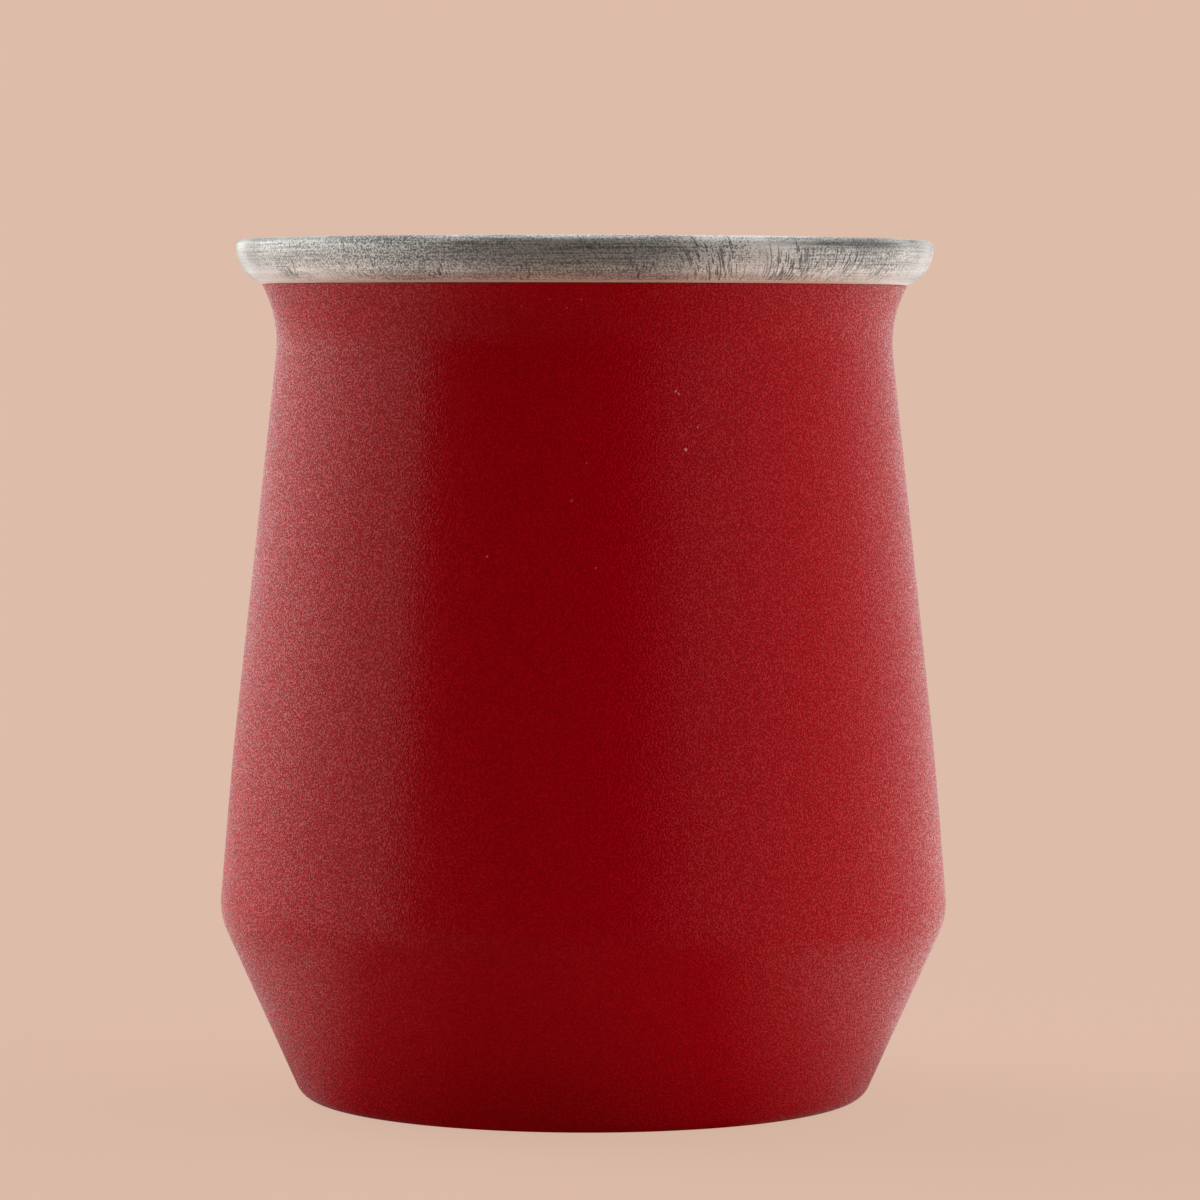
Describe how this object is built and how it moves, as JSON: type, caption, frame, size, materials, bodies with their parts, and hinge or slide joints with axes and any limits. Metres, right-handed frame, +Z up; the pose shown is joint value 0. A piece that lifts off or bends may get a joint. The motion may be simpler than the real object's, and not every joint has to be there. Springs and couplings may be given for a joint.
{
  "type": "insulated mate cup",
  "caption": "Double-walled steel mate cup with a red powder-coated body, low belly, drawn-in neck and a bare rolled steel rim. Keeps the drink inside hot.",
  "frame": {"origin": "centre of the base, on the table", "axes": "+Z up along the cup's axis, mouth at the top; the cup is round, and +X and +Y are free, with the getter pill on +X"},
  "size_m": [0.0806, 0.0806, 0.095],
  "materials": {
    "red_powder_coat": "fine-grained satin powder coat",
    "shell_steel": "drawn sheet",
    "rim_steel": "brushed round the axis, worn at the rim",
    "base_steel": "turned brushing",
    "copper": "bright foil",
    "solder_glass": "dark melted glass",
    "getter_metal": "sintered"
  },
  "bodies": {
    "root": {"powder_coat": "red_powder_coat", "outer_shell": "shell_steel", "inner_liner": "rim_steel", "liner_bottom": "rim_steel", "copper_foil": "copper", "vacuum_bottom": "shell_steel", "glass_seal": "solder_glass", "getter_pill": "getter_metal", "getter_strap": "shell_steel", "base_cover": "base_steel"}
  },
  "joints": []
}
